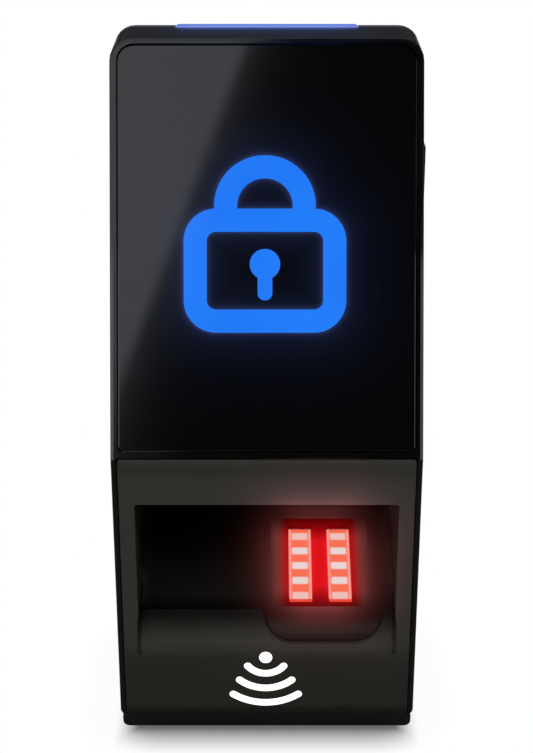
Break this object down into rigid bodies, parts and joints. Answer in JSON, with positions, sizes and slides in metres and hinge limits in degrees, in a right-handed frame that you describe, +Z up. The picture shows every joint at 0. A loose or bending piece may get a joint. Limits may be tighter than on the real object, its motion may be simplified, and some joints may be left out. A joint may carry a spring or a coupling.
{
  "type": "access control card reader",
  "caption": "Wall-mounted access reader with a sloped black glass display, finger recess over an optical sensor, card antenna and hook-on wall plate.",
  "frame": {"origin": "on the wall plate's back face, at half the terminal's height and on its centre line", "axes": "+Z up, +X to the right as seen from the front, the front faces -Y and the wall is the plane y = 0"},
  "size_m": [0.0688, 0.062, 0.1557],
  "materials": {
    "shell_plastic": "satin black moulded shell with fine grain",
    "housing_plastic": "matt black moulded back",
    "bezel_plastic": "matt warm dark grey moulding",
    "guide_plastic": "polished black, passes infrared light",
    "case_plastic": "matt black",
    "plunger_plastic": "natural white",
    "connector_plastic": "matt green",
    "seal_rubber": "matt black",
    "cover_rubber": "smooth black",
    "front_glass": "polished, dark printed back",
    "display_black": "lit blue pictogram on black",
    "sensor_glass": "polished",
    "red_lamps": "lit red",
    "blue_light_guide": "lit blue light guide",
    "board_green": "solder mask",
    "tin_plate": "tin-plated sheet",
    "zinc_steel": "zinc-plated pressed sheet",
    "screw_steel": "blackened steel"
  },
  "bodies": {
    "plate": {"wall_plate": "zinc_steel"},
    "security_screw": {"security_screw": "screw_steel"},
    "terminal": {"rear_housing": "housing_plastic", "housing_seal": "seal_rubber", "front_frame": "shell_plastic", "front_glass": "front_glass", "glass_tape": "seal_rubber", "display_panel": "display_black", "display_board": "board_green", "lower_bezel": "bezel_plastic", "finger_guide": "guide_plastic", "sensor_window": "sensor_glass", "light_strip_left": "red_lamps", "light_strip_right": "red_lamps", "sensor_prism": "sensor_glass", "sensor_case": "case_plastic", "sensor_board": "board_green", "antenna_board": "board_green", "light_bar": "blue_light_guide", "light_bar_board": "board_green", "main_board": "board_green", "rf_shield": "tin_plate", "coin_cell_holder": "case_plastic", "coin_cell": "tin_plate", "buzzer": "case_plastic", "rj45_jack": "tin_plate", "terminal_block": "connector_plastic", "usb_socket": "tin_plate", "tamper_switch": "case_plastic", "port_cover_pin": "screw_steel", "housing_screw_1": "screw_steel", "housing_screw_2": "screw_steel", "housing_screw_3": "screw_steel", "housing_screw_4": "screw_steel", "board_screw_1": "screw_steel", "board_screw_2": "screw_steel", "board_screw_3": "screw_steel", "board_screw_4": "screw_steel"},
    "port_cover": {"port_cover": "cover_rubber"},
    "tamper_plunger": {"tamper_plunger": "plunger_plastic"}
  },
  "joints": [
    {"name": "terminal_swing", "type": "hinge", "parent": "plate", "child": "terminal", "pos_m": [0, -0.005, 0.0493], "axis": [-1, 0, 0], "range_deg": [0, 25]},
    {"name": "security_screw_slide", "type": "slide", "parent": "plate", "child": "security_screw", "axis": [0, 0, -1], "range_m": [0, 0.0025]},
    {"name": "tamper_press", "type": "slide", "parent": "terminal", "child": "tamper_plunger", "axis": [0, -1, 0], "range_m": [0, 0.001], "stiffness_N_per_m": 200},
    {"name": "port_cover_hinge", "type": "hinge", "parent": "terminal", "child": "port_cover", "pos_m": [0.0329, -0.027, 0.054], "axis": [0, -1, 0], "range_deg": [0, 100]}
  ]
}
